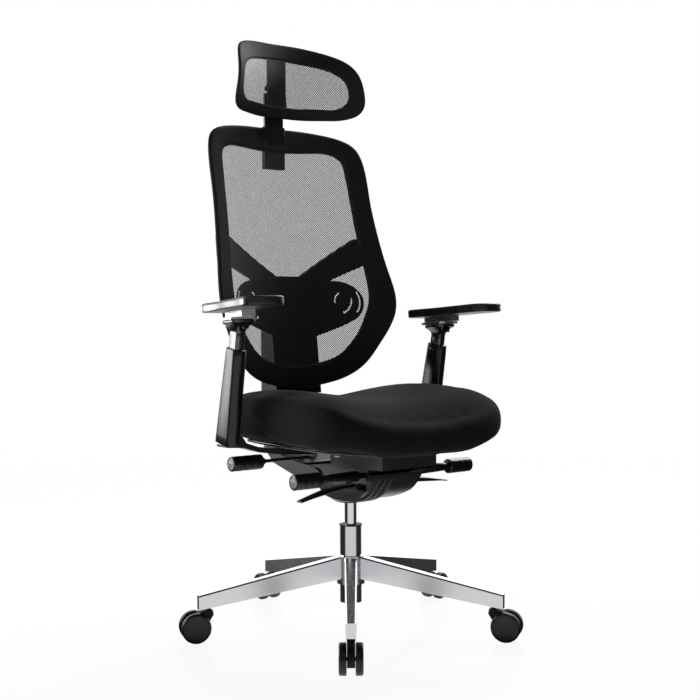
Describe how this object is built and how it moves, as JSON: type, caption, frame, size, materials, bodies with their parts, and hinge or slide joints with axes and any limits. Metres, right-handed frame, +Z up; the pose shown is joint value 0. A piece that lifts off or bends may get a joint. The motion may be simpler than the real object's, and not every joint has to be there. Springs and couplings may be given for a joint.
{
  "type": "swivel office chair",
  "caption": "High-back swivel chair with stretched mesh back, adjustable headrest and arms, padded seat, tilt mechanism, gas lift and star base on casters.",
  "frame": {"origin": "point on the floor on the swivel axis", "axes": "+Z up; the sitter faces -Y; +X is the side of the left arm of the sitter"},
  "size_m": [0.7539, 0.7241, 1.3734],
  "materials": {
    "polished_aluminium": "polished",
    "black_tube": "gloss",
    "chrome_cylinder": "polished",
    "steel": "satin",
    "dark_steel": "satin",
    "black_plastic": "satin",
    "gloss_plastic": "gloss",
    "caster_plastic": "satin",
    "soft_pad": "satin",
    "seat_fabric": "woven",
    "mesh_fabric": "open knit"
  },
  "bodies": {
    "base": {"base_star": "polished_aluminium", "column_tube": "black_tube", "column_guide_bush": "black_plastic", "column_thrust_bearing": "steel"},
    "caster_1": {"caster_1_hood": "black_plastic"},
    "caster_1_wheel_inner": {"caster_1_wheel_inner": "caster_plastic"},
    "caster_1_wheel_outer": {"caster_1_wheel_outer": "caster_plastic"},
    "caster_2": {"caster_2_hood": "black_plastic"},
    "caster_2_wheel_inner": {"caster_2_wheel_inner": "caster_plastic"},
    "caster_2_wheel_outer": {"caster_2_wheel_outer": "caster_plastic"},
    "caster_3": {"caster_3_hood": "black_plastic"},
    "caster_3_wheel_inner": {"caster_3_wheel_inner": "caster_plastic"},
    "caster_3_wheel_outer": {"caster_3_wheel_outer": "caster_plastic"},
    "caster_4": {"caster_4_hood": "black_plastic"},
    "caster_4_wheel_inner": {"caster_4_wheel_inner": "caster_plastic"},
    "caster_4_wheel_outer": {"caster_4_wheel_outer": "caster_plastic"},
    "caster_5": {"caster_5_hood": "black_plastic"},
    "caster_5_wheel_inner": {"caster_5_wheel_inner": "caster_plastic"},
    "caster_5_wheel_outer": {"caster_5_wheel_outer": "caster_plastic"},
    "lift_rod": {"column_piston_rod": "steel"},
    "mechanism": {"column_gas_cylinder": "chrome_cylinder", "mechanism_tray": "dark_steel", "mechanism_cowl": "gloss_plastic", "mechanism_pivot_shafts": "steel", "mechanism_springs": "steel", "paddle_pins": "steel"},
    "release_pin": {"column_release_pin": "steel"},
    "paddle_left": {"paddle_left": "black_plastic"},
    "paddle_right": {"paddle_right": "black_plastic"},
    "grip_right": {"grip_right": "black_plastic"},
    "grip_left": {"grip_left": "black_plastic"},
    "back_bracket": {"back_bracket": "dark_steel"},
    "seat_plate": {"seat_plate": "dark_steel", "arm_bracket_left": "dark_steel", "arm_sleeve_left": "gloss_plastic", "arm_bracket_right": "dark_steel", "arm_sleeve_right": "gloss_plastic"},
    "depth_lever": {"depth_lever": "black_plastic"},
    "seat": {"seat_pan": "gloss_plastic", "seat_cushion": "seat_fabric", "seat_bolts": "steel"},
    "arm_stem_left": {"arm_stem_left": "polished_aluminium"},
    "arm_trigger_left": {"arm_trigger_left": "black_plastic"},
    "arm_turntable_left": {"arm_turntable_left": "black_plastic"},
    "arm_slider_left": {"arm_slider_left": "black_plastic"},
    "arm_pad_left": {"arm_pad_left": "soft_pad"},
    "arm_stem_right": {"arm_stem_right": "polished_aluminium"},
    "arm_trigger_right": {"arm_trigger_right": "black_plastic"},
    "arm_turntable_right": {"arm_turntable_right": "black_plastic"},
    "arm_slider_right": {"arm_slider_right": "black_plastic"},
    "arm_pad_right": {"arm_pad_right": "soft_pad"},
    "back": {"back_support": "black_plastic", "back_frame": "black_plastic", "back_mesh": "mesh_fabric", "headrest_clip": "black_plastic"},
    "lumbar": {"lumbar_pad": "black_plastic"},
    "headrest_stem": {"headrest_stem": "black_plastic"},
    "headrest": {"headrest_frame": "black_plastic", "headrest_hinge_pin": "steel", "headrest_mesh": "mesh_fabric"}
  },
  "joints": [
    {"name": "caster_1_swivel", "type": "hinge", "parent": "base", "child": "caster_1", "pos_m": [-0.20058, -0.25952, 0.07], "axis": [0, 0, 1], "continuous": true},
    {"name": "caster_1_inner_roll", "type": "hinge", "parent": "caster_1", "child": "caster_1_wheel_inner", "pos_m": [-0.21832, -0.28247, 0.0325], "axis": [0.7912, -0.6115, 0], "continuous": true},
    {"name": "caster_1_outer_roll", "type": "hinge", "parent": "caster_1", "child": "caster_1_wheel_outer", "pos_m": [-0.21832, -0.28247, 0.0325], "axis": [0.7912, -0.6115, 0], "continuous": true},
    {"name": "caster_2_swivel", "type": "hinge", "parent": "base", "child": "caster_2", "pos_m": [0.18484, -0.27096, 0.07], "axis": [0, 0, 1], "continuous": true},
    {"name": "caster_2_inner_roll", "type": "hinge", "parent": "caster_2", "child": "caster_2_wheel_inner", "pos_m": [0.20118, -0.29492, 0.0325], "axis": [0.8261, 0.5635, 0], "continuous": true},
    {"name": "caster_2_outer_roll", "type": "hinge", "parent": "caster_2", "child": "caster_2_wheel_outer", "pos_m": [0.20118, -0.29492, 0.0325], "axis": [0.8261, 0.5635, 0], "continuous": true},
    {"name": "caster_3_swivel", "type": "hinge", "parent": "base", "child": "caster_3", "pos_m": [0.31482, 0.09206, 0.07], "axis": [0, 0, 1], "continuous": true},
    {"name": "caster_3_inner_roll", "type": "hinge", "parent": "caster_3", "child": "caster_3_wheel_inner", "pos_m": [0.34265, 0.1002, 0.0325], "axis": [-0.2807, 0.9598, 0], "continuous": true},
    {"name": "caster_3_outer_roll", "type": "hinge", "parent": "caster_3", "child": "caster_3_wheel_outer", "pos_m": [0.34265, 0.1002, 0.0325], "axis": [-0.2807, 0.9598, 0], "continuous": true},
    {"name": "caster_4_swivel", "type": "hinge", "parent": "base", "child": "caster_4", "pos_m": [0.00973, 0.32786, 0.07], "axis": [0, 0, 1], "continuous": true},
    {"name": "caster_4_inner_roll", "type": "hinge", "parent": "caster_4", "child": "caster_4_wheel_inner", "pos_m": [0.01059, 0.35684, 0.0325], "axis": [-0.9996, 0.0297, 0], "continuous": true},
    {"name": "caster_4_outer_roll", "type": "hinge", "parent": "caster_4", "child": "caster_4_wheel_outer", "pos_m": [0.01059, 0.35684, 0.0325], "axis": [-0.9996, 0.0297, 0], "continuous": true},
    {"name": "caster_5_swivel", "type": "hinge", "parent": "base", "child": "caster_5", "pos_m": [-0.3088, 0.11057, 0.07], "axis": [0, 0, 1], "continuous": true},
    {"name": "caster_5_inner_roll", "type": "hinge", "parent": "caster_5", "child": "caster_5_wheel_inner", "pos_m": [-0.3361, 0.12034, 0.0325], "axis": [-0.3371, -0.9415, 0], "continuous": true},
    {"name": "caster_5_outer_roll", "type": "hinge", "parent": "caster_5", "child": "caster_5_wheel_outer", "pos_m": [-0.3361, 0.12034, 0.0325], "axis": [-0.3371, -0.9415, 0], "continuous": true},
    {"name": "swivel", "type": "hinge", "parent": "base", "child": "lift_rod", "pos_m": [0, 0, 0.07], "axis": [0, 0, 1], "continuous": true},
    {"name": "seat_height", "type": "slide", "parent": "lift_rod", "child": "mechanism", "axis": [0, 0, 1], "range_m": [-0.055, 0.045]},
    {"name": "release_pin_press", "type": "slide", "parent": "mechanism", "child": "release_pin", "axis": [0, 0, 1], "range_m": [-0.003, 0], "stiffness_N_per_m": 300, "springref_m": 0.003},
    {"name": "paddle_left_lift", "type": "hinge", "parent": "mechanism", "child": "paddle_left", "pos_m": [0.065, -0.09, 0.342], "axis": [0, -1, 0], "range_deg": [0, 8], "stiffness_Nm_per_rad": 0.4, "springref_deg": -6.88},
    {"name": "paddle_right_lift", "type": "hinge", "parent": "mechanism", "child": "paddle_right", "pos_m": [-0.065, -0.09, 0.342], "axis": [0, 1, 0], "range_deg": [0, 8], "stiffness_Nm_per_rad": 0.4, "springref_deg": -6.88},
    {"name": "grip_right_tension_turn", "type": "hinge", "parent": "mechanism", "child": "grip_right", "pos_m": [0, -0.126, 0.366], "axis": [1, 0, 0], "range_deg": [-180, 180]},
    {"name": "grip_left_lock_turn", "type": "hinge", "parent": "mechanism", "child": "grip_left", "pos_m": [0, -0.126, 0.366], "axis": [1, 0, 0], "range_deg": [0, 60]},
    {"name": "back_tilt", "type": "hinge", "parent": "mechanism", "child": "back_bracket", "pos_m": [0, 0.045, 0.35], "axis": [-1, 0, 0], "range_deg": [0, 22], "stiffness_Nm_per_rad": 70, "springref_deg": -34.38},
    {"name": "seat_tilt", "type": "hinge", "parent": "mechanism", "child": "seat_plate", "pos_m": [0, -0.122, 0.391], "axis": [-1, 0, 0], "range_deg": [0, 9]},
    {"name": "depth_lever_turn", "type": "hinge", "parent": "seat_plate", "child": "depth_lever", "pos_m": [0, 0.06, 0.389], "axis": [1, 0, 0], "range_deg": [0, 30], "stiffness_Nm_per_rad": 0.3, "springref_deg": -8.59},
    {"name": "seat_depth", "type": "slide", "parent": "seat_plate", "child": "seat", "axis": [0, -1, 0], "range_m": [0, 0.05]},
    {"name": "arm_height_left", "type": "slide", "parent": "seat_plate", "child": "arm_stem_left", "axis": [0, -0.1736, 0.9848], "range_m": [-0.013, 0.057]},
    {"name": "arm_trigger_left_press", "type": "slide", "parent": "arm_stem_left", "child": "arm_trigger_left", "axis": [0, 0.0698, 0.9976], "range_m": [0, 0.003], "stiffness_N_per_m": 300, "springref_m": -0.003},
    {"name": "arm_turn_left", "type": "hinge", "parent": "arm_stem_left", "child": "arm_turntable_left", "pos_m": [0.286, 0.01811, 0.71604], "axis": [0, 0.0698, 0.9976], "range_deg": [-20, 20]},
    {"name": "arm_depth_left", "type": "slide", "parent": "arm_turntable_left", "child": "arm_slider_left", "axis": [0.1219, -0.9901, 0.0692], "range_m": [-0.02, 0.03]},
    {"name": "arm_width_left", "type": "slide", "parent": "arm_slider_left", "child": "arm_pad_left", "axis": [0.9925, 0.1216, -0.0085], "range_m": [-0.015, 0.015]},
    {"name": "arm_height_right", "type": "slide", "parent": "seat_plate", "child": "arm_stem_right", "axis": [0, -0.1736, 0.9848], "range_m": [-0.027, 0.043]},
    {"name": "arm_trigger_right_press", "type": "slide", "parent": "arm_stem_right", "child": "arm_trigger_right", "axis": [0, 0.0698, 0.9976], "range_m": [0, 0.003], "stiffness_N_per_m": 300, "springref_m": -0.003},
    {"name": "arm_turn_right", "type": "hinge", "parent": "arm_stem_right", "child": "arm_turntable_right", "pos_m": [-0.286, 0.01568, 0.72982], "axis": [0, 0.0698, 0.9976], "range_deg": [-20, 20]},
    {"name": "arm_depth_right", "type": "slide", "parent": "arm_turntable_right", "child": "arm_slider_right", "axis": [-0.1219, -0.9901, 0.0692], "range_m": [-0.02, 0.03]},
    {"name": "arm_width_right", "type": "slide", "parent": "arm_slider_right", "child": "arm_pad_right", "axis": [-0.9925, 0.1216, -0.0085], "range_m": [-0.015, 0.015]},
    {"name": "back_height", "type": "slide", "parent": "back_bracket", "child": "back", "axis": [0, 0, 1], "range_m": [0, 0.045]},
    {"name": "lumbar_height", "type": "slide", "parent": "back", "child": "lumbar", "axis": [0, 0.1562, 0.9877], "range_m": [-0.015, 0.025]},
    {"name": "headrest_height", "type": "slide", "parent": "back", "child": "headrest_stem", "axis": [0, 0, 1], "range_m": [0, 0.045]},
    {"name": "headrest_tilt", "type": "hinge", "parent": "headrest_stem", "child": "headrest", "pos_m": [0, 0.303, 1.262], "axis": [-1, 0, 0], "range_deg": [-6, 20]}
  ],
  "couplings": [
    {"joint": "release_pin_press", "follows": "paddle_right_lift", "m_per_rad": -0.0214},
    {"joint": "seat_tilt", "follows": "back_tilt", "ratio": 0.4}
  ]
}
